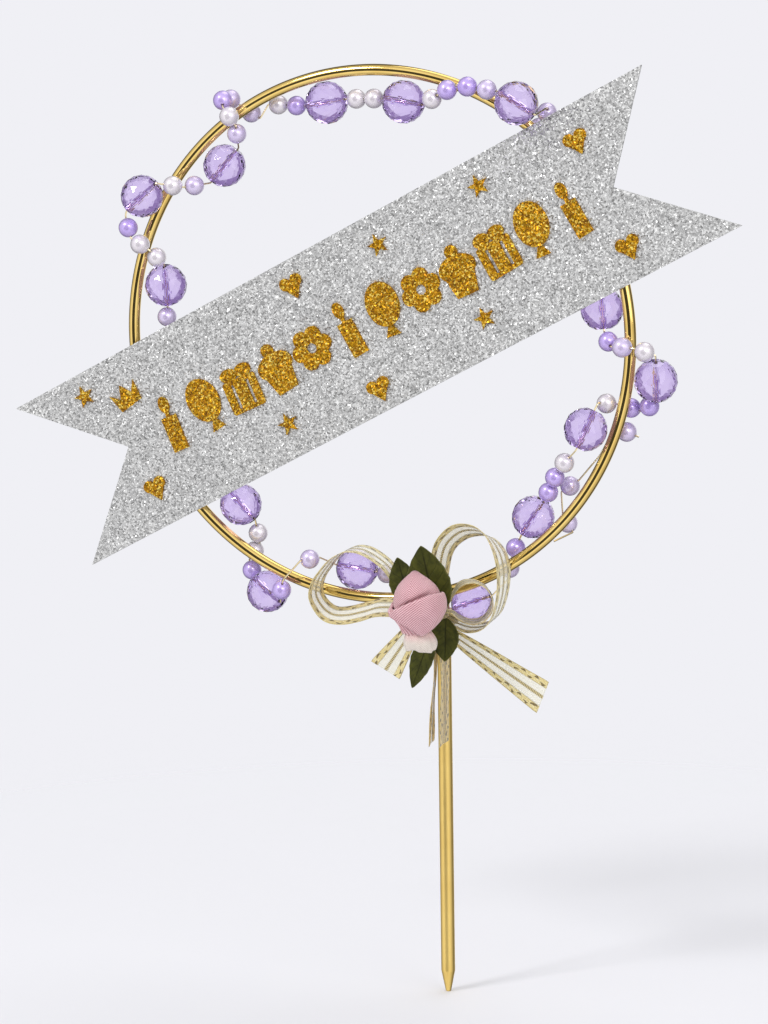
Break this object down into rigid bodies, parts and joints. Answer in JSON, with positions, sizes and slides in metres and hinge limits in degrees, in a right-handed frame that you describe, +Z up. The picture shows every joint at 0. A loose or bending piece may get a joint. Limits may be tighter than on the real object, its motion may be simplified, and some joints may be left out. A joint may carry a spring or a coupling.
{
  "type": "cake topper",
  "caption": "Cake topper: a gold wire hoop on a pick, wound with lilac beads and pearls, with a forked glitter banner across it and a ribbon bow with a rosebud below.",
  "frame": {"origin": "on the pick's axis, where its straight shank ends and the tapered point begins", "axes": "+Z up along the pick towards the hoop, the banner and the bow face -Y, +X to the viewer's right"},
  "size_m": [0.2154, 0.0434, 0.2604],
  "materials": {
    "satin_gold": "satin gold plate",
    "polished_gold": "polished gold plate",
    "gold_wire": "bright drawn wire",
    "lilac_acrylic": "clear tinted acrylic, cut facets",
    "white_pearl": "pearlescent",
    "pale_lilac_pearl": "pearlescent",
    "lilac_pearl": "pearlescent",
    "silver_glitter": "fine silver glitter on card",
    "clear_glue": "cured clear adhesive",
    "gold_glitter": "fine gold glitter on card",
    "cream_ribbon": "sheer cream weave with metallic gold edges",
    "tie_thread": "metallic gold cord",
    "leaf_fabric": "dark green satin",
    "rose_fabric": "pink twill ribbon",
    "foot_fabric": "cream gathered cloth"
  },
  "bodies": {
    "topper": {"pick": "satin_gold", "hoop": "polished_gold", "beading_wire": "gold_wire", "short_wire": "gold_wire", "white_pearls": "white_pearl", "pale_lilac_pearls": "pale_lilac_pearl", "lilac_pearls": "lilac_pearl", "banner_card": "silver_glitter", "glue_pads": "clear_glue", "gold_hearts": "gold_glitter", "gold_stars": "gold_glitter", "gold_crown": "gold_glitter", "gold_candles": "gold_glitter", "gold_balloons": "gold_glitter", "gold_gifts": "gold_glitter", "gold_cupcakes": "gold_glitter", "gold_flowers": "gold_glitter", "bow_knot": "cream_ribbon", "left_loop": "cream_ribbon", "right_loop": "cream_ribbon", "small_loop": "cream_ribbon", "right_tail": "cream_ribbon", "left_tail": "cream_ribbon", "hanging_tail": "cream_ribbon", "turned_tail": "cream_ribbon", "knot_tie": "tie_thread", "top_leaf": "leaf_fabric", "left_leaf": "leaf_fabric", "right_leaf": "leaf_fabric", "lower_leaf": "leaf_fabric", "bud_core": "rose_fabric", "inner_petal": "rose_fabric", "outer_petal": "rose_fabric", "bud_foot": "foot_fabric"},
    "bead_01": {"faceted_bead_01": "lilac_acrylic"},
    "bead_02": {"faceted_bead_02": "lilac_acrylic"},
    "bead_03": {"faceted_bead_03": "lilac_acrylic"},
    "bead_04": {"faceted_bead_04": "lilac_acrylic"},
    "bead_05": {"faceted_bead_05": "lilac_acrylic"},
    "bead_06": {"faceted_bead_06": "lilac_acrylic"},
    "bead_07": {"faceted_bead_07": "lilac_acrylic"},
    "bead_08": {"faceted_bead_08": "lilac_acrylic"},
    "bead_09": {"faceted_bead_09": "lilac_acrylic"},
    "bead_10": {"faceted_bead_10": "lilac_acrylic"},
    "bead_11": {"faceted_bead_11": "lilac_acrylic"},
    "bead_12": {"faceted_bead_12": "lilac_acrylic"},
    "bead_13": {"faceted_bead_13": "lilac_acrylic"},
    "bead_14": {"faceted_bead_14": "lilac_acrylic"},
    "bead_15": {"faceted_bead_15": "lilac_acrylic"},
    "bead_16": {"faceted_bead_16": "lilac_acrylic"},
    "bead_17": {"faceted_bead_17": "lilac_acrylic"},
    "bead_18": {"faceted_bead_18": "lilac_acrylic"}
  },
  "joints": [
    {"name": "bead_01_spin", "type": "hinge", "parent": "topper", "child": "bead_01", "pos_m": [-0.02745, 0.00459, 0.11319], "axis": [-0.9902, 0.1088, 0.088], "continuous": true},
    {"name": "bead_02_spin", "type": "hinge", "parent": "topper", "child": "bead_02", "pos_m": [-0.05354, 0.00135, 0.10596], "axis": [-0.7982, 0.4491, 0.4016], "continuous": true},
    {"name": "bead_03_spin", "type": "hinge", "parent": "topper", "child": "bead_03", "pos_m": [-0.06211, 0.00336, 0.13035], "axis": [-0.7425, 0.1514, 0.6525], "continuous": true},
    {"name": "bead_04_spin", "type": "hinge", "parent": "topper", "child": "bead_04", "pos_m": [-0.0882, 0.00585, 0.14097], "axis": [-0.5661, 0.0236, 0.824], "continuous": true},
    {"name": "bead_05_spin", "type": "hinge", "parent": "topper", "child": "bead_05", "pos_m": [-0.08359, 0.00587, 0.16274], "axis": [-0.2195, 0.0211, 0.9754], "continuous": true},
    {"name": "bead_06_spin", "type": "hinge", "parent": "topper", "child": "bead_06", "pos_m": [-0.08227, 0, 0.19274], "axis": [0.0658, -0.2838, 0.9566], "continuous": true},
    {"name": "bead_07_spin", "type": "hinge", "parent": "topper", "child": "bead_07", "pos_m": [-0.0857, -0.0072, 0.21824], "axis": [0.7934, -0.1901, 0.5782], "continuous": true},
    {"name": "bead_08_spin", "type": "hinge", "parent": "topper", "child": "bead_08", "pos_m": [-0.06359, 0.0003, 0.22649], "axis": [0.6319, 0.1419, 0.762], "continuous": true},
    {"name": "bead_09_spin", "type": "hinge", "parent": "topper", "child": "bead_09", "pos_m": [-0.03384, 0.0036, 0.24376], "axis": [0.9836, -0.0946, 0.1537], "continuous": true},
    {"name": "bead_10_spin", "type": "hinge", "parent": "topper", "child": "bead_10", "pos_m": [-0.00977, -0.00015, 0.24405], "axis": [0.9763, -0.1656, -0.1394], "continuous": true},
    {"name": "bead_11_spin", "type": "hinge", "parent": "topper", "child": "bead_11", "pos_m": [0.02479, -0.0066, 0.2437], "axis": [0.8608, -0.0946, -0.5001], "continuous": true},
    {"name": "bead_12_spin", "type": "hinge", "parent": "topper", "child": "bead_12", "pos_m": [0.03123, 0.00561, 0.22335], "axis": [0.6513, -0.0142, -0.7587], "continuous": true},
    {"name": "bead_13_spin", "type": "hinge", "parent": "topper", "child": "bead_13", "pos_m": [0.04277, 0.00495, 0.2003], "axis": [0.2612, -0.0237, -0.965], "continuous": true},
    {"name": "bead_14_spin", "type": "hinge", "parent": "topper", "child": "bead_14", "pos_m": [0.04513, 0.00435, 0.18789], "axis": [0.1121, -0.071, -0.9912], "continuous": true},
    {"name": "bead_15_spin", "type": "hinge", "parent": "topper", "child": "bead_15", "pos_m": [0.06159, -0.00044, 0.16913], "axis": [-0.1079, 0.401, -0.9097], "continuous": true},
    {"name": "bead_16_spin", "type": "hinge", "parent": "topper", "child": "bead_16", "pos_m": [0.04269, -0.00349, 0.15576], "axis": [-0.3676, -0.2535, -0.8948], "continuous": true},
    {"name": "bead_17_spin", "type": "hinge", "parent": "topper", "child": "bead_17", "pos_m": [0.02503, 0.00426, 0.12993], "axis": [-0.5918, 0.1987, -0.7812], "continuous": true},
    {"name": "bead_18_spin", "type": "hinge", "parent": "topper", "child": "bead_18", "pos_m": [0.00634, 0.00585, 0.1049], "axis": [-0.9386, 0.0236, -0.3443], "continuous": true}
  ]
}
